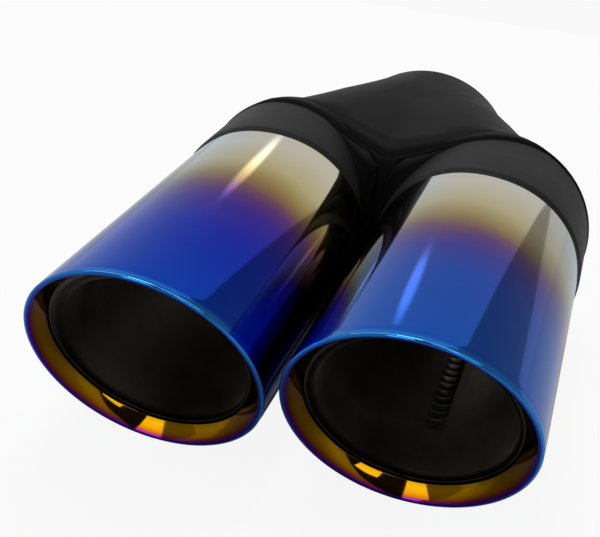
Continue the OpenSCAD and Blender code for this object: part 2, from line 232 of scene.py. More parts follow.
def tip_profile():
    """Rings, and the band value: 0 on the outer skin, 1 on the lip, up to 3 at the inner edge."""
    rings, band = [], []

    def add(new, low, high):
        rings.extend(new)
        band.extend(np.linspace(low, high, len(new)))

    rear = SHELL_FRONT - 0.1
    add([(TIP_R, s, 0) for s in (rear, rear - 0.4, rear - 2, rear - 12) + SQUARE_STATIONS], 0, 0)
    add([(TIP_R, s, slant) for s, slant in LEANING], 0, 0)
    add([(TIP_R - inset, s, 1) for inset, s in ROLL_START], 0.15, 0.5)

    lip_centre = (TIP_R - LIP_R - 0.1, LIP_R + 0.2)
    lip = [(TIP_R - r, s + 0.1) for r, s in arc(lip_centre, LIP_R + 0.1, *LIP_ARC)]
    turned_in = bezier(lip[-1], BAND_BEND, (BAND_INSET, BAND_DEPTH - 0.6), BAND_STEPS)
    for ring in (mouth_ring(*point) for point in lip + turned_in):
        rings.append(ring)
        band.append(np.interp(TIP_R - ring[0], BAND_INSETS, BAND_VALUES))

    hem = BAND_INSET - TIP_WALL
    behind_lip = LIP_R + TIP_WALL
    edge = [(BAND_INSET - i, BAND_DEPTH - d) for i, d in ((0.05, 0.35), (0.2, 0.1), (0.5, 0))]
    back = [(hem + 0.2, BAND_DEPTH)] + bezier((hem, BAND_DEPTH - 0.3), (hem - 1.0, behind_lip + 1.4),
        (TIP_WALL + 0.6, behind_lip + 1.8), 8)
    add([mouth_ring(*point) for point in edge + back], BAND_END, BAND_END)
    inside = [(behind_lip + 4.0, 1), (26.0, 0.8)] + [(s, 0) for s in (60.0, rear - 2, rear - 0.4, rear)]
    add([(TIP_R - TIP_WALL, s, slant) for s, slant in inside], BAND_END, BAND_END)
    return rings, band


def liner_profile():
    """Rings, and the tint value, a painted shade: 1 at the flared front, painted near black, 0 further in."""
    inset, depth = BAND_INSET + 0.1, BAND_DEPTH + 0.2
    rings = [mouth_ring(*q) for q in ((inset + 0.1, depth), (inset + 0.5, depth - 0.1), (inset + 0.9, depth))]
    tint = [1.0] * len(rings)
    r, s, _, tall, rise = rings[-1]
    for t in BELL_SHARES:
        k = 1 - (1 - t) ** 2
        rings.append((r + (LINER_R - r) * k, s + BELL_LENGTH * t, 1, tall * (1 - k), rise * (1 - t) ** 1.5))
        tint.append(max(0.0, 1 - t / FRONT_SHADE_REACH))

    rear, outside, flare = SHELL_FRONT + LINER_REACH, LINER_R + LINER_WALL, s + BELL_BACK
    rings += [(LINER_R, 40.0, 0.6), (LINER_R, 90.0, 0), (LINER_R, 140.0, 0), (LINER_R, rear - 0.3, 0)]
    rings += [(LINER_R + 0.3, rear, 0), (outside - 0.3, rear, 0), (outside, rear - 0.3, 0)]
    rings += [(outside, 60.0, 0.4), (outside, flare, 1)]
    r, s, _, tall, rise = mouth_ring(inset, depth + 0.1)
    for t in (0.3, 0.55, 0.8, 1.0):
        rings.append((outside + (r - outside) * t, flare + (s - flare) * t, 1, tall * t, rise * t * t))
    return rings, tint + [0.0] * (len(rings) - len(tint))


# Weld beads
def bead_surface(length, centre, across, out, width, height, pitch, ripple, lag, run_in, steps_across,
        steps_per_ripple):
    """A rippled weld bead along centre(u); across(u) and out(u) are unit vectors, u is in millimetres."""
    n = max(2, int(round(length / pitch))) * steps_per_ripple
    v = np.linspace(-1, 1, steps_across + 1)
    body = (1 - v * v) ** BEAD_ROUNDNESS
    rows, crest = [], []
    for i in range(n + 1):
        u = length * i / n
        base, side, up = centre(u), across(u), out(u)
        phase = (u / pitch + lag * v * v) % 1.0
        shape = np.where(phase < CREST_AT, np.sqrt(np.clip(1 - ((CREST_AT - phase) / CREST_AT) ** 2, 0, 1)),
            np.cos((phase - CREST_AT) / (1 - CREST_AT) * math.pi / 2))
        rising = (u + RUN_IN_LEAD * run_in) / ((1 + RUN_IN_LEAD) * run_in)
        taper = min(1.0, rising, (length - u + RUN_OUT_LEAD) / RUN_OUT)
        h = taper * body * (height - ripple + ripple * shape)
        half = v * (width / 2) * (1 - CREST_NARROWING * shape)
        rows.append(base[None] + side[None] * half[:, None] + up[None] * h[:, None])
        crest.append(shape * body * taper)
    return np.array(rows), np.array(crest)


def liner_seam(name, axis_x, angle):
    """The bead along the inside of a liner, at an angle round its axis, with its feet on the round wall."""
    a = math.radians(angle)
    wall = LINER_R - SEAM_SINK
    inward = np.array([-math.cos(a), 0, -math.sin(a)])
    side = np.array([-math.sin(a), 0, math.cos(a)])
    seat = np.array([axis_x + wall * math.cos(a), SEAM_FROM, wall * math.sin(a)])
    rows, crest = bead_surface(SEAM_TO - SEAM_FROM, lambda u: seat + np.array([0, u, 0]), lambda u: side,
        lambda u: inward, **SEAM_BEAD)
    v = np.linspace(-1, 1, rows.shape[1]) * (SEAM_BEAD["width"] / 2)
    rows += inward * (wall - np.sqrt(wall * wall - v * v))[:, None]
    return grid_object(name, rows, attributes={"crest": crest})


def side_bead(name, sign):
    """The bead that joins the two half shells along one side."""
    stations = np.linspace(EDGE_RAMP, MERGE + NECK - 0.6, 200)
    ridge = np.array([outer_ring(s)[-1] for s in stations])
    run = np.r_[0, np.cumsum(np.linalg.norm(np.diff(ridge, axis=0), axis=1))]

    def centre(u):
        return np.array([sign * (np.interp(u, run, ridge[:, 0]) + 0.02), np.interp(u, run, ridge[:, 1]), 0.0])

    def out(u):
        t = centre(u + 0.5) - centre(u - 0.5)
        t /= np.linalg.norm(t)
        n = np.array([t[1], -t[0], 0.0])
        return n if n[0] * sign > 0 else -n

    rows, crest = bead_surface(float(run[-1]), centre, lambda u: np.array([0, 0, 1.0]), out, **SIDE_BEAD)
    return grid_object(name, rows, attributes={"crest": crest})


def ring_bead(name):
    """The fillet weld round the inlet pipe at the neck's end."""
    rows = []
    for i in range(RING_STEPS):
        a = 2 * math.pi * i / RING_STEPS
        row = []
        for j in range(RING_SECTION_STEPS + 1):
            t = j / RING_SECTION_STEPS
            phase = (a / (2 * math.pi) * RING_RIPPLES + 0.5 * (2 * t - 1) ** 2) % 1.0
            wave = math.sqrt(1 - (1 - phase) ** 2)
            section = t * math.pi / 2
            leg = WELD_LEG * (0.8 + 0.2 * wave * math.sin(2 * section))
            r = INLET_R + 0.04 + (leg if j else WELD_LEG) * math.cos(section)
            y = TOTAL - INLET + 0.02 + (leg if j < RING_SECTION_STEPS else WELD_LEG) * math.sin(section)
            row.append((r * math.cos(a), y, r * math.sin(a)))
        rows.append(row)
    return grid_object(name, rows, wrap_rows=True)


# The pressed collector; s counts back from its front, and p is s less what a collar holds back
def edge_rise(s):
    return EDGE_RISE * ease((s - EDGE_FROM) / (EDGE_RAMP - EDGE_FROM))


def edge_side(s):
    return EDGE_LEAST_RISE * ease((s - EDGE_FROM) / 2)


def shoulder(s):
    return math.sin(math.pi / 2 * min(1, max(0, (s - EDGE_FLAT) / (SHOULDER - EDGE_FLAT))))


def merged(s):
    return min(1, max(0, (s - SHOULDER) / (MERGE - SHOULDER)))


def half_spacing(s, p):
    """Half the distance between the two crowns' centres."""
    front = AXIS_X + edge_side(s) - edge_rise(s) - SHOULDER_PULL * shoulder(p)
    return front * (1 - merged(s)) ** MERGE_BEND


def crown_radius(s):
    front = COLLAR_R + edge_rise(s)
    return front + (BARREL_R - front) * merged(s) + (NECK_R - BARREL_R) * ease((s - MERGE) / NECK_CURVE)


def middle_height(s, p):
    return crown_radius(s) - (CROWN_FRONT_R - VALLEY_HEIGHT) * (half_spacing(s, p) / AXIS_X) ** 2


def valley_radius(s):
    return VALLEY_R + (VALLEY_END_R - VALLEY_R) * ease(s / VALLEY_OPEN)


def touch_angle(c, r, h):
    """The angle at which the line from (0, h) over a circle of radius r round (c, 0) touches it."""
    return math.atan2(h, -c) - math.acos(min(1, r / math.hypot(c, h)))


FLANK_TOUCH = touch_angle(AXIS_X, CROWN_FRONT_R, VALLEY_HEIGHT)


def outline_points(c, r, h, v, which):
    """Points of an outline's right half: a fillet over the middle, a straight flank and the round crown."""
    touch = touch_angle(c, r, h)
    slope = touch - math.pi / 2
    foot = (v * math.sin(slope), h + v / math.cos(slope) - v * math.cos(slope))
    top = (c + r * math.cos(touch), r * math.sin(touch))
    dip, flank, crown = v * slope, math.dist(foot, top), r * touch
    pts = []
    for i in which:
        u = (dip + flank + crown) * i / OUTLINE_STEPS
        if u < dip:
            pts.append((v * math.sin(u / v), h + v / math.cos(slope) - v * math.cos(u / v)))
        elif u < dip + flank:
            t = (u - dip) / flank
            pts.append((foot[0] + (top[0] - foot[0]) * t, foot[1] + (top[1] - foot[1]) * t))
        else:
            a = touch - (u - dip - flank) / r
            pts.append((c + r * math.cos(a), r * math.sin(a)))
    return pts


def outline(c, r, h, v):
    return outline_points(c, r, h, v, range(OUTLINE_STEPS + 1))


def reach(x):
    """How far the V edge lies forward at x."""
    return EDGE_LEAST + EDGE_REACH * max(0, 1 - abs(x) / EDGE_HALF)


def lean_left(s):
    """The share of the V edge's lean that is left at s."""
    return max(0, 1 - s / EDGE_FADE)


FRONT_OUTLINE = outline(AXIS_X, CROWN_FRONT_R, VALLEY_HEIGHT, VALLEY_R)
HELD = [min(1, max(0, (x - HOLD_FROM) / HOLD_OVER)) * reach(x) for x, _ in FRONT_OUTLINE]


def skin_point(s, inset, j):
    """The skin's j-th point; over a collar the shoulder starts behind the collar's end."""
    p = s - HELD[j] * lean_left(s)
    return outline_points(half_spacing(s, p), crown_radius(s) - inset, middle_height(s, p) - inset,
        valley_radius(s), [j])[0]


def outer_ring(s):
    ring = [skin_point(s, 0, j) for j in range(OUTLINE_STEPS + 1)]
    return np.array([(x, SHELL_FRONT + s - reach(x) * lean_left(s), z) for x, z in ring])


def under(s, x):
    """The station of the outer skin that lies over the inner skin's station s."""
    return s if s >= EDGE_FADE else (s + reach(x)) / (1 + reach(x) / EDGE_FADE)


def inner_ring(s):
    ring = []
    for j in range(OUTLINE_STEPS + 1):
        x, _ = skin_point(s, 0, j)
        px, pz = skin_point(under(s, x), SHELL_WALL, j)
        ring.append((px, SHELL_FRONT + s, pz))
    return np.array(ring)


def lap_outline():
    return outline(AXIS_X, LAP_R, LAP_HEIGHT, VALLEY_R)


def web_ring(w):
    """A ring of the web, w in front of the edge in the middle, where a slot runs down between the collars."""
    edge = outer_ring(EDGE_FROM)
    corner_x, _, corner_z = edge[SLOT_POINTS]
    open_up = ease(w / SLOT_OPENS_OVER)
    slope = (edge[SLOPE_POINT, 2] - corner_z) / (edge[SLOPE_POINT, 0] - corner_x)
    # the flank falls from the slot's corner (cx, cz) to where it touches the collar (tx, tz)
    cx = corner_x + (SLOT_HALF - corner_x) * open_up
    cz = corner_z + (cx - corner_x) * slope - WEB_DROP * (w / WEB_REACH) ** WEB_DROP_POWER - WEB_STEP
    touch = touch_angle(AXIS_X - cx, WEB_R, cz)
    tx, tz = AXIS_X + WEB_R * math.cos(touch), WEB_R * math.sin(touch)
    flank = math.dist((cx, cz), (tx, tz))
    bottom = max(SLOT_FLOOR, edge[0, 2] - SLOT_FALL * w)
    first_x, first_z = AXIS_X + WEB_R * math.cos(FLANK_TOUCH), WEB_R * math.sin(FLANK_TOUCH)
    span = math.dist((corner_x, corner_z), (first_x, first_z))

    def on_collar(angle, y):
        return (AXIS_X + WEB_R * math.cos(angle), y, WEB_R * math.sin(angle))

    ring = []
    for j, (ex, ey, ez) in enumerate(edge):
        k = min(1, max(0, (WEB_SIDE - ex) / WEB_SIDE_FADE))
        y = ey - w * k * k * (3 - 2 * k) - WEB_SIDE_CREEP * w
        share = math.dist((corner_x, corner_z), (ex, ez)) / span if ex < first_x else 1
        along = share * (flank + WEB_R * (touch - FLANK_TOUCH))
        if j < SLOT_POINTS:
            # the wall of the slot, rounded at its top
            u = j / SLOT_POINTS
            wall_x = cx * min(1, SLOT_FLOOR_TURN * u) ** 0.5
            wall_z = bottom + (cz - SLOT_ROUND - bottom) * (1 - (1 - u) ** 2)
            ring.append((ex * cx / corner_x * (1 - open_up) + wall_x * open_up, y,
                ez * (1 - open_up) + wall_z * open_up))
        elif share == 1:
            ring.append(on_collar(math.atan2(ez, ex - AXIS_X), y))
        elif along < flank:
            drop = SLOT_ROUND * open_up * max(0, 1 - along / SLOT_ROUND_REACH) ** 2
            ring.append((cx + (tx - cx) * along / flank, y, cz + (tz - cz) * along / flank - drop))
        else:
            ring.append(on_collar(touch - (along - flank) / WEB_R, y))
    ring = np.array(ring)
    ring[:, [0, 2]] += (edge[:, [0, 2]] - ring[:, [0, 2]]) * (1 - ease(w / WEB_BLEND))
    return ring


def whole(ring):
    """A ring's right half, after its mirror image."""
    left = ring[:0:-1].copy()
    left[:, 0] *= -1
    return np.concatenate([left, ring])


def shell_rows():
    """Rows of a half shell, with its web value, 1 on the web's lighter paint and less where painted shade
    dims it near the slot, and its crease value, a painted shade, 1 in the edge's foot and also where the web
    falls into the slot.
    """
    webs = [w for w in (WEB_REACH * t * t for t in np.linspace(1, 0, WEB_ROWS)) if w > WEB_LEAST]
    end = MERGE + NECK
    behind = EDGE_ROWS + FOOT_ROWS + list(np.linspace(SHOULDER, MERGE, BARREL_ROWS))[1:]
    behind += list(np.linspace(MERGE, MERGE + NECK_CURVE, NECK_ROWS))[1:] + [end - RIM_ROUND]
    rows = [whole(np.array([(x, SHELL_FRONT - 0.5, z) for x, z in lap_outline()]))]
    rows += [whole(web_ring(w)) for w in webs] + [whole(outer_ring(s)) for s in behind]

    rim = outer_ring(end - RIM_ROUND)
    rim[:, 1] += RIM_ROUND
    rim[:, [0, 2]] *= (NECK_R - RIM_ROUND) / NECK_R
    hole = rim.copy()
    hole[:, [0, 2]] *= (INLET_R + 0.06) / (NECK_R - RIM_ROUND)
    inside = [end - 2.0, MERGE + NECK_CURVE, MERGE + 12, MERGE + 6, MERGE]
    inside += list(np.linspace(MERGE, SHOULDER, INSIDE_ROWS))[1:]
    rows += [whole(rim), whole(hole)] + [whole(inner_ring(s)) for s in inside]

    def spread(values):
        values = np.array(values + [0.0] * (len(rows) - len(values)))
        return np.repeat(values[:, None], len(rows[0]), 1)

    web = spread([1.0] + [ease(w / WEB_PAINT_OVER) for w in webs])
    edge = whole(outer_ring(EDGE_FROM))
    # painted shade: the web's lighter paint is dimmed toward the middle, by the slot
    across = [ease((abs(x) - SLOT_SHADE_FADE_FROM_X) / SLOT_SHADE_FADE_OVER_X) for x, _, _ in edge]
    web *= WEB_PAINT_LEFT_IN_SLOT_SHADE + (1 - WEB_PAINT_LEFT_IN_SLOT_SHADE) * np.array([across])
    # painted shade: dark along the crease at the edge's foot, and darker further forward where the web falls
    # into the slot
    crease = [CREASE_SHADE * (1 - ease(w / CREASE_SHADE_ON_WEB)) + ease((w - SLOT_SHADE_FROM) / SLOT_SHADE_OVER) for w in webs]
    crease += [CREASE_SHADE * (1 - ease((s - CREASE_SHADE_FROM) / CREASE_SHADE_OVER)) for s in behind]
    return rows, {"web": web, "crease": spread([0.0] + crease)}


def plate_rows():
    """The collector's front face with its two round holes."""
    lap = lap_outline()
    meet = math.degrees(math.atan2(lap[1][1], lap[1][0] - AXIS_X))
    first = math.degrees(touch_angle(AXIS_X, LAP_R, LAP_HEIGHT))
    holes = [(0.0, 0.0)]
    for x, z in lap[1:]:
        a = math.degrees(math.atan2(z, x - AXIS_X))
        b = first + (a - first) * (180 - first) / (meet - first) if a > first else a
        holes.append((AXIS_X + HOLE_R * math.cos(math.radians(b)), HOLE_R * math.sin(math.radians(b))))
    rows = []
    for points, s in ((lap, 0.0), (holes, 0.0), (holes, SHELL_WALL), (lap, SHELL_WALL)):
        rows.append(whole(np.array([(x, SHELL_FRONT + s, z) for x, z in points])))
    return rows


def sleeve(name, axis_x, bare, top):
    """The collar: its painted front edge is feathered out on the tip and lies furthest forward at the top."""
    degrees = np.linspace(0, 360, SLEEVE_SEGMENTS, endpoint=False)
    a = np.radians(degrees)
    away = np.abs((degrees - top + 180) % 360 - 180)
    back = SWEEP_PER_DEGREE * (np.sqrt(away ** 2 + SWEEP_ROUND_DEGREES ** 2) - SWEEP_ROUND_DEGREES)
    edge = bare + SWEEP * np.tanh(back / SWEEP)
    rows = []

    def add(r, y):
        rows.append(np.stack([axis_x + r * np.cos(a), np.broadcast_to(y, a.shape), r * np.sin(a)], 1))

    for s in (SHELL_FRONT - 0.05, SHELL_FRONT - 0.4, SHELL_FRONT - 2, BARE + 30, BARE + 20):
        add(COLLAR_R, s)
    for t in np.linspace(1, 0, 16):
        add(TIP_R + PAINT_EDGE + (COLLAR_R - TIP_R - PAINT_EDGE) * ease(t), edge + SLEEVE_RAMP * t)
    add(TIP_R + 0.005, edge + 0.1)
    for s in (BARE + 20, SHELL_FRONT - 2, SHELL_FRONT - 0.05):
        add(TIP_R + 0.07, s)
    return grid_object(name, rows, wrap_rows=True, wrap_columns=True)


def inlet_stub(name):
    """The inlet pipe with its rounded end; its front edge is bevelled."""
    front, end = TOTAL - INLET - INLET_OVERLAP, TOTAL
    outside = [(INLET_R, front + 0.3), (INLET_R, end - 6), (INLET_R, end - 0.6), (INLET_R - 0.15, end - 0.2),
        (INLET_R - 0.5, end - 0.02)]
    bore = [(INLET_BORE_R + 0.5, end - 0.02), (INLET_BORE_R + 0.15, end - 0.2), (INLET_BORE_R, end - 0.6),
        (INLET_BORE_R, end - 6), (INLET_BORE_R, front + 0.3)]
    bevel = [(INLET_BORE_R + 0.3, front), (INLET_R - 0.3, front)]
    return revolve(name, [(r, s, 0) for r, s in outside + bore + bevel], 0.0, INLET_SEGMENTS)


# Materials
class Nodes:
    """A new material, with short ways to add nodes and join them."""

    def __init__(self, name):
        self.material = bpy.data.materials.new(name)
        self.material.use_nodes = True
        self.tree = self.material.node_tree
        self.tree.nodes.clear()
        self.out = self.add("ShaderNodeOutputMaterial")

    def add(self, kind, **values):
        node = self.tree.nodes.new(kind)
        for key, value in values.items():
            setattr(node, key, value)
        return node

    def feed(self, socket, value):
        """Sets a number or a colour on a socket, or links another node's output to it."""
        if isinstance(value, (int, float)):
            socket.default_value = value
        elif isinstance(value, tuple):
            socket.default_value = (*value, 1.0)
        else:
            self.tree.links.new(value, socket)

    def coords(self):
        return self.add("ShaderNodeTexCoord").outputs["Object"]

    def attribute(self, name):
        return self.add("ShaderNodeAttribute", attribute_name=name).outputs["Fac"]

    def math(self, operation, *operands):
        node = self.add("ShaderNodeMath", operation=operation)
        for socket, value in zip(node.inputs, operands):
            self.feed(socket, value)
        return node.outputs[0]

    def span(self, value, low, high, to_low=0.0, to_high=1.0, smooth=False):
        node = self.add("ShaderNodeMapRange", interpolation_type="SMOOTHSTEP" if smooth else "LINEAR")
        self.feed(node.inputs["Value"], value)
        for key, v in (("From Min", low), ("From Max", high), ("To Min", to_low), ("To Max", to_high)):
            node.inputs[key].default_value = v
        return node.outputs[0]

    def noise(self, vector, scale, detail, roughness):
        node = self.add("ShaderNodeTexNoise")
        values = {"Vector": vector, "Scale": scale, "Detail": detail, "Roughness": roughness}
        for key, value in values.items():
            self.feed(node.inputs[key], value)
        return node.outputs["Fac"]

    def stretched(self, vector, along):
        """Coordinates scaled along Y, for marks that run the tube's length."""
        node = self.add("ShaderNodeMapping")
        self.feed(node.inputs["Vector"], vector)
        node.inputs["Scale"].default_value = (1.0, along, 1.0)
        return node.outputs[0]

    def away_from(self, centre, radii):
        """The distance from a centre, 1 on the ellipse with these radii."""
        place = self.add("ShaderNodeMapping", vector_type="TEXTURE")
        self.feed(place.inputs["Vector"], self.coords())
        place.inputs["Location"].default_value = centre
        place.inputs["Scale"].default_value = radii
        length = self.add("ShaderNodeVectorMath", operation="LENGTH")
        self.feed(length.inputs[0], place.outputs[0])
        return length.outputs["Value"]

    def ramp(self, value, stops):
        node = self.add("ShaderNodeValToRGB")
        node.color_ramp.interpolation = "LINEAR"
        elements = node.color_ramp.elements
        while len(elements) > 1:
            elements.remove(elements[-1])
        for i, (position, colour) in enumerate(stops):
            e = elements[0] if i == 0 else elements.new(position)
            e.position = position
            e.color = (*colour, 1.0)
        self.feed(node.inputs["Fac"], value)
        return node.outputs["Color"]

    def mix(self, factor, a, b):
        node = self.add("ShaderNodeMix", data_type="RGBA")
        for key, value in ((0, factor), (6, a), (7, b)):
            self.feed(node.inputs[key], value)
        return node.outputs[2]

    def bump(self, height, distance, strength):
        node = self.add("ShaderNodeBump")
        for key, value in (("Height", height), ("Distance", distance), ("Strength", strength)):
            self.feed(node.inputs[key], value)
        return node.outputs["Normal"]

    def glow(self, strength):
        node = self.add("ShaderNodeEmission")
        node.inputs["Strength"].default_value = strength
        return node.outputs[0]

    def mix_shader(self, factor, a, b):
        node = self.add("ShaderNodeMixShader")
        for socket, value in zip(node.inputs, (factor, a, b)):
            self.feed(socket, value)
        return node.outputs[0]

    def principled(self, **values):
        node = self.add("ShaderNodeBsdfPrincipled")
        for key, value in values.items():
            self.feed(node.inputs[key.replace("_", " ")], value)
        self.show(node.outputs["BSDF"])

    def show(self, shader):
        self.feed(self.out.inputs["Surface"], shader)


# Most of what a noise node gives lies in this range
MID = (0.3, 0.7)
# The stations that the heat tint runs between
TINT_FROM, TINT_TO = -20.0, 130.0


def tint_stop(s, red, green, blue):
    """A stop of the heat tint, s millimetres behind the mouth's centre."""
    return ((s - TINT_FROM) / (TINT_TO - TINT_FROM), (red, green, blue))


def skin_tint(lift):
    """Stops from the blue at the mouth to bare steel at the collar; lift adds green to the blues."""
    return [
        tint_stop(-12, 0.0, 0.042 + lift * 0.8, 0.43),
        tint_stop(15, 0.0, 0.020 + lift, 0.385),
        tint_stop(36, 0.006, 0.008 + lift, 0.36),
        tint_stop(55, 0.040, 0.004 + lift * 0.4, 0.25),
        tint_stop(65, 0.10, 0.014 + lift * 0.2, 0.155),
        tint_stop(72, 0.17, 0.055, 0.075),
        tint_stop(79, 0.27, 0.145, 0.03),
        tint_stop(86, 0.37, 0.26, 0.06),
        tint_stop(98, 0.54, 0.44, 0.20),
        tint_stop(122, 0.63, 0.56, 0.41),
    ]


# From the lip's blue to the gold inside the mouth, by the band value as a share of BAND_END
MOUTH_TINT = [
    (0.15, (0.01, 0.13, 0.58)),
    (0.23, (0.035, 0.23, 0.56)),
    (0.28, (0.01, 0.12, 0.50)),
    (0.325, (0.01, 0.01, 0.34)),
    (0.365, (0.12, 0.0, 0.20)),
    (0.41, (0.15, 0.022, 0.02)),
    (0.47, (0.22, 0.07, 0.0)),
    (0.60, (0.27, 0.115, 0.001)),
    (0.80, (0.29, 0.145, 0.001)),
    (0.97, (0.22, 0.11, 0.003)),
]


def heat_tint(name, axis_x, shift, skew, lift):
    """Polished steel with a heat tint: the colour follows the distance from the mouth."""
    n = Nodes(name)
    coords = n.coords()
    split = n.add("ShaderNodeSeparateXYZ")
    n.feed(split.inputs[0], coords)
    wave = n.noise(coords, 16.0, 3.0, 0.55)
    fine = n.noise(coords, 70.0, 4.0, 0.6)
    # millimetres behind the centre of the mouth, skewed across the tube and a little uneven
    station = n.math("MULTIPLY_ADD", split.outputs["Y"], 1000.0, TOTAL + shift)
    side = n.math("MULTIPLY_ADD", split.outputs["X"], -1000.0 * skew, axis_x * skew)
    station = n.math("ADD", station, side)
    station = n.math("ADD", station, n.span(wave, *MID, -3.0, 3.0))
    station = n.math("ADD", station, n.span(fine, *MID, -0.7, 0.7))
    skin = n.ramp(n.span(station, TINT_FROM, TINT_TO), skin_tint(lift))
    band = n.math("ADD", n.attribute("band"), n.span(fine, *MID, -0.03, 0.03))
    mouth = n.ramp(n.math("DIVIDE", band, BAND_END), MOUTH_TINT)
    colour = n.mix(n.span(band, 0.1, 0.65, smooth=True), skin, mouth)
    # the polish has a few dull spots and long soft swirls
    rough = n.span(n.noise(coords, 32.0, 5.0, 0.65), 0.35, 0.75, 0.035, 0.10)
    swirl = n.noise(n.stretched(coords, 0.25), 40.0, 2.0, 0.5)
    n.principled(Base_Color=colour, Metallic=1.0, Roughness=rough, Specular_Tint=(0.75, 0.85, 1.0),
        Normal=n.bump(swirl, 0.0006, 0.35))
    return n.material


def dark_steel(name, base, rough_low, rough_high, front=None):
    """Sooty drawn steel; front is its colour where the tint value is 1, a near-black painted shade."""
    n = Nodes(name)
    coords = n.coords()
    soot = n.noise(coords, 28.0, 5.0, 0.6)
    drawn = n.noise(n.stretched(coords, 0.04), 900.0, 3.0, 0.6)
    colour = n.mix(n.span(soot, *MID), tuple(0.6 * c for c in base), tuple(1.25 * c for c in base))
    rough = n.span(n.math("ADD", soot, n.math("MULTIPLY", drawn, 0.5)), 0.5, 1.0, rough_low, rough_high)
    if front:
        # painted shade: where the tint value is 1 the flared front is painted near black and smoother, so its
        # rim shows no light
        front_shade = n.attribute("tint")
        colour = n.mix(front_shade, colour, front)
        rough = n.math("MULTIPLY", rough, n.span(front_shade, 0.0, 1.0, 1.0, 0.35))
    n.principled(Base_Color=colour, Metallic=1.0, Roughness=rough, Normal=n.bump(drawn, 0.00008, 0.6))
    return n.material


def bead_metal(name, low, high, rough):
    """Weld metal with a painted highlight: bright on the ripples' crests, and darker between them."""
    n = Nodes(name)
    grain = n.noise(n.coords(), 260.0, 4.0, 0.6)
    # painted highlight: the crests are coloured nearly white, standing in for their glints
    colour = n.mix(n.span(n.attribute("crest"), 0.55, 1.0, smooth=True), low, high)
    colour = n.mix(n.span(grain, 0.35, 0.7, 0.0, 0.35), colour, low)
    n.principled(Base_Color=colour, Metallic=0.45, Roughness=rough, Normal=n.bump(grain, 0.00015, 0.5))
    return n.material


def black_paint(name, base, rough, grain_size, specular, front=None):
    """Sprayed heat-resistant paint: fine grain, slightly cloudy; front is the web's base and specular."""
    n = Nodes(name)
    coords = n.coords()
    grain = n.noise(coords, grain_size, 3.0, 0.6)
    orange = n.noise(coords, grain_size / 7.0, 2.0, 0.5)
    cloud = n.noise(coords, 22.0, 4.0, 0.6)
    colour = n.mix(n.span(cloud, *MID), tuple(0.82 * c for c in base), tuple(1.18 * c for c in base))
    roughness = n.span(n.math("ADD", n.math("MULTIPLY", grain, 0.4), n.math("MULTIPLY", cloud, 0.6)),
        0.35, 0.65, rough - 0.05, rough + 0.06)
    height = n.math("ADD", n.math("MULTIPLY", grain, 0.5), orange)
    if front:
        # painted shade: the crease value darkens the paint to near black and takes most of its specular away,
        # in the crease at the edge's foot and down the slot
        web, crease = n.attribute("web"), n.attribute("crease")
        sheen_outside_shade = n.span(crease, 0.0, 1.0, 1.0, 0.13)
        # the web value gives the web lighter paint and more specular; where it falls off near the slot, that
        # is painted shade
        colour = n.mix(web, colour, front[0])
        colour = n.mix(n.math("MULTIPLY", crease, 0.85), colour, (0.001, 0.001, 0.001))
        specular = n.math("MULTIPLY", n.span(web, 0.0, 1.0, specular, front[1]), sheen_outside_shade)
    n.principled(Base_Color=colour, Metallic=0.0, Roughness=roughness, IOR=1.5, Specular_IOR_Level=specular,
        Normal=n.bump(height, 0.00012, 0.5))
    return n.material


def pale_floor():
    """Matt and pale, lit up for the camera; it shines in reflections only well away from the part."""
    n = Nodes("pale_floor")
    path = n.add("ShaderNodeLightPath")
    pale = n.add("ShaderNodeBsdfDiffuse")
    pale.inputs["Color"].default_value = FLOOR_COLOUR
    lit = n.math("MULTIPLY", path.outputs["Is Camera Ray"], FLOOR_LIT)
    seen = n.mix_shader(lit, pale.outputs[0], n.glow(1.0))
    open_floor = n.span(n.away_from(PART_MIDDLE, PART_RADII), 0.9, 2.2, 0.0, 0.7, smooth=True)
    mirrored = n.math("MULTIPLY", path.outputs["Is Glossy Ray"], open_floor)
    n.show(n.mix_shader(mirrored, seen, n.glow(FLOOR_SHEEN)))
    return n.material


tint_left = heat_tint("heat_tint_left", -AXIS_X, 3.0, 0.17, 0.0)
tint_right = heat_tint("heat_tint_right", AXIS_X, 0.0, 0.0, 0.035)
# the last colour is the painted shade of the liner's flared front
liner_steel = dark_steel("liner_steel", (0.19, 0.175, 0.14), 0.45, 0.65, (0.022, 0.018, 0.010))
ring_steel = dark_steel("ring_steel", (0.20, 0.19, 0.18), 0.35, 0.5)
# the seam's bright colour is the crests' painted highlight
seam_metal = bead_metal("seam_metal", (0.07, 0.064, 0.056), (0.95, 0.88, 0.75), 0.45)
collar_paint = black_paint("collar_paint", (0.0078, 0.0078, 0.0078), 0.5, 1500.0, 0.085)
# the shells' last values are the web's lighter base and specular, dimmed near the slot by painted shade
shell_paint = black_paint("shell_paint", (0.0038, 0.0038, 0.0042), 0.5, 1300.0, 0.05,
    ((0.007, 0.007, 0.007), 0.075))

# The visible pieces; a side has its axis, its tint, and the paint edge's foremost station and its angle
SIDES = (("left", -AXIS_X, tint_left, 131.4, 91), ("right", AXIS_X, tint_right, 126.9, 86))
profile, band_values = tip_profile()
liner_rings, liner_front_shade = liner_profile()
for side_name, x, tint, bare, top in SIDES:
    tip = revolve(f"{side_name}_tip_skin", profile, x, TIP_SEGMENTS, {"band": band_values})
    dress(tip, tint, "heat_tinted_steel", f"{side_name}_tip")
    liner = revolve(f"{side_name}_liner_pipe", liner_rings, x, LINER_SEGMENTS, {"tint": liner_front_shade})
    dress(liner, liner_steel, "liner_steel", f"{side_name}_liner")
    collar = sleeve(f"{side_name}_collar_sleeve", x, bare, top)
    dress(collar, collar_paint, "collar_paint", f"{side_name}_collar")

dress(liner_seam("right_seam_bead", AXIS_X, -86.5), seam_metal, "weld_bead", "right_liner_seam")
dress(liner_seam("left_seam_bead", -AXIS_X, 30.0), seam_metal, "weld_bead", "left_liner_seam")

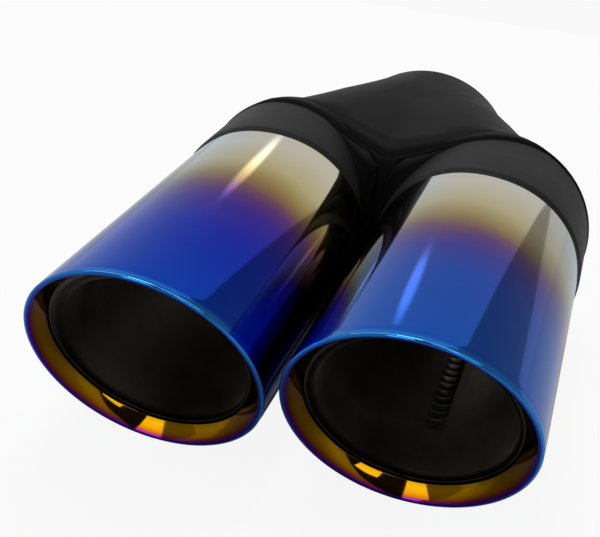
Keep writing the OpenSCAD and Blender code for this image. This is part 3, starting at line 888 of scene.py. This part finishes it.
shell, shell_values = shell_rows()
plate = plate_rows()
for half, turned in (("upper", list), ("lower", upside_down)):
    pressing = grid_object(f"{half}_shell_pressing", turned(shell), attributes=shell_values)
    dress(pressing, shell_paint, "black_paint", f"{half}_shell")
for half, turned in (("upper", list), ("lower", upside_down)):
    dress(grid_object(f"{half}_front_plate", turned(plate), wrap_rows=True), shell_paint, "black_paint")
dress(side_bead("left_side_bead", -1), shell_paint, "black_paint", "left_side_weld")
dress(side_bead("right_side_bead", 1), shell_paint, "black_paint", "right_side_weld")
dress(ring_bead("inlet_weld_bead"), shell_paint, "black_paint", "inlet_weld")
dress(inlet_stub("inlet_stub"), shell_paint, "black_paint", "inlet_pipe")

for node in ("left_rear_ring", "right_rear_ring"):
    obj = frame["nodes"][node]
    obj.data.materials.clear()
    obj.data.materials.append(ring_steel)

# Every face of the pieces built here looks outward
for obj in list(scene.objects):
    if obj.type == "MESH" and "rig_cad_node" not in obj:
        bm = bmesh.new()
        bm.from_mesh(obj.data)
        bmesh.ops.recalc_face_normals(bm, faces=bm.faces)
        bm.to_mesh(obj.data)
        bm.free()

# The stage, in metres
FLOOR_Z = cad_box[0][2] - 0.0002
FLOOR_HALF = 6.0
FLOOR_COLOUR, FLOOR_LIT, FLOOR_SHEEN = (0.86, 0.86, 0.86, 1), 0.90, 0.62
PART_MIDDLE, PART_RADII = (0.0, -0.15, 0.0), (0.10, 0.19, 1.0)
ROOM_LIGHT, WHITE = 0.34, (1, 1, 1, 1)
WALL_Y, PATCH_Y, DARK_Y, CEILING_Z, LEFT_X = 0.506, -1.45, -1.55, 1.0, -0.75
WALL_EDGE_X = 0.318
WINDOW_X, WINDOW_Y, WINDOW_Z, WINDOW_HALF, WINDOW_HALF_HEIGHT = -0.177, WALL_Y - 0.06, 0.357, 0.05, 0.065


def stage_object(name, corners):
    """A flat face of the stage."""
    mesh = bpy.data.meshes.new(name)
    mesh.from_pydata(corners, [], [tuple(range(len(corners)))])
    obj = bpy.data.objects.new(name, mesh)
    scene.collection.objects.link(obj)
    return obj


def card(name, corners, radiance, mirrored_only=False, soft=None):
    """A light card that the camera doesn't see; a soft one has a centre and radii, and fades out."""
    obj = stage_object(name, corners)
    obj.visible_camera = False
    obj.visible_diffuse = not mirrored_only
    n = Nodes(name)
    shine = n.glow(radiance)
    if soft:
        fade = n.span(n.away_from(*soft), 0.35, 1.0, 1.0, 0.0, smooth=True)
        shine = n.mix_shader(fade, n.add("ShaderNodeBsdfTransparent").outputs[0], shine)
    n.show(shine)
    obj.data.materials.append(n.material)


def upright(y, *corners):
    return [(x, y, z) for x, z in corners]


def area_light(name, location, target, width, height, power):
    data = bpy.data.lights.new(name, "AREA")
    data.shape = "RECTANGLE"
    data.size = width
    data.size_y = height
    data.energy = power
    obj = bpy.data.objects.new(name, data)
    obj.location = location
    direction = Vector(target) - Vector(location)
    obj.rotation_euler = direction.to_track_quat("-Z", "Y").to_euler()
    obj.visible_camera = False
    scene.collection.objects.link(obj)


def studio_world():
    """White for the camera, and a dimmer light from all round."""
    world = bpy.data.worlds.new("studio")
    scene.world = world
    world.use_nodes = True
    tree = world.node_tree
    tree.nodes.clear()
    out = tree.nodes.new("ShaderNodeOutputWorld")
    mix = tree.nodes.new("ShaderNodeMixShader")
    path = tree.nodes.new("ShaderNodeLightPath")
    tree.links.new(path.outputs["Is Camera Ray"], mix.inputs[0])
    for socket, strength in ((1, ROOM_LIGHT), (2, 1.0)):
        background = tree.nodes.new("ShaderNodeBackground")
        background.inputs["Color"].default_value = WHITE
        background.inputs["Strength"].default_value = strength
        tree.links.new(background.outputs[0], mix.inputs[socket])
    tree.links.new(mix.outputs[0], out.inputs["Surface"])


floor = stage_object("floor", [(sx * FLOOR_HALF, sy * FLOOR_HALF, FLOOR_Z)
    for sx, sy in ((-1, -1), (1, -1), (1, 1), (-1, 1))])
floor.data.materials.append(pale_floor())
studio_world()

card("back_wall_card", upright(WALL_Y, (-1.6, FLOOR_Z), (WALL_EDGE_X, FLOOR_Z), (0.300, 0.95), (-1.6, 0.95)),
    0.8)
card("low_card", upright(WALL_Y, (WALL_EDGE_X, FLOOR_Z), (0.72, FLOOR_Z), (0.62, 0.0), (WALL_EDGE_X, 0.108)),
    0.66)
window = [(WINDOW_X + sx * WINDOW_HALF, WINDOW_Z + sz * WINDOW_HALF_HEIGHT)
    for sx, sz in ((-1, -1), (1, -1), (1, 1), (-1, 1))]
card("window_card", upright(WINDOW_Y, *window), 2.4, mirrored_only=True,
    soft=((WINDOW_X, WINDOW_Y, WINDOW_Z), (WINDOW_HALF, 1.0, WINDOW_HALF_HEIGHT)))
card("ceiling_strip", [(-1.6, -0.42, CEILING_Z), (1.2, -0.42, CEILING_Z), (1.2, 0.02, CEILING_Z),
    (-1.6, 0.02, CEILING_Z)], 3.3, mirrored_only=True)
card("dark_room", upright(DARK_Y, (-0.45, FLOOR_Z), (1.9, FLOOR_Z), (1.9, 1.3), (-0.45, 1.3)), 0.02)
card("first_patch", upright(PATCH_Y, (0.46, 0.20), (0.96, 0.02), (1.00, 0.30), (0.46, 0.50)), 3.6,
    mirrored_only=True)
card("second_patch", upright(PATCH_Y, (-0.42, -0.04), (-0.04, -0.04), (-0.08, 0.60), (-0.48, 0.56)), 3.4,
    mirrored_only=True)
card("left_card", [(LEFT_X, WALL_Y, FLOOR_Z), (LEFT_X, -0.9, FLOOR_Z), (LEFT_X, -0.9, 0.5),
    (LEFT_X, WALL_Y, 0.6)], 0.62)
area_light("overhead", (-0.10, -0.15, 0.95), (0.0, -0.15, 0.0), 0.70, 0.34, 4.2)
area_light("front_strip", (0.45, -1.05, 0.75), (0.0, -0.2, 0.0), 0.5, 0.2, 1.0)

# The camera, as fitted to the photo's outlines of both mouths and tubes
CAMERA_AT = (0.08733, -0.60926, 0.20530)
CAMERA_RIGHT = (0.95349, 0.29058, 0.08016)
CAMERA_UP = (-0.19693, 0.39913, 0.89550)
CAMERA_FORWARD = (-0.22822, 0.86963, -0.43779)
cam_data = bpy.data.cameras.new("camera")
cam = bpy.data.objects.new("camera", cam_data)
scene.collection.objects.link(cam)
axes = zip(CAMERA_RIGHT, CAMERA_UP, CAMERA_FORWARD, CAMERA_AT)
cam.matrix_world = Matrix([(right, up, -forward, at) for right, up, forward, at in axes] + [(0, 0, 0, 1)])
cam_data.sensor_fit = "HORIZONTAL"
cam_data.sensor_width = 36.0
cam_data.lens = 67.56
cam_data.clip_start = 0.01
scene.camera = cam
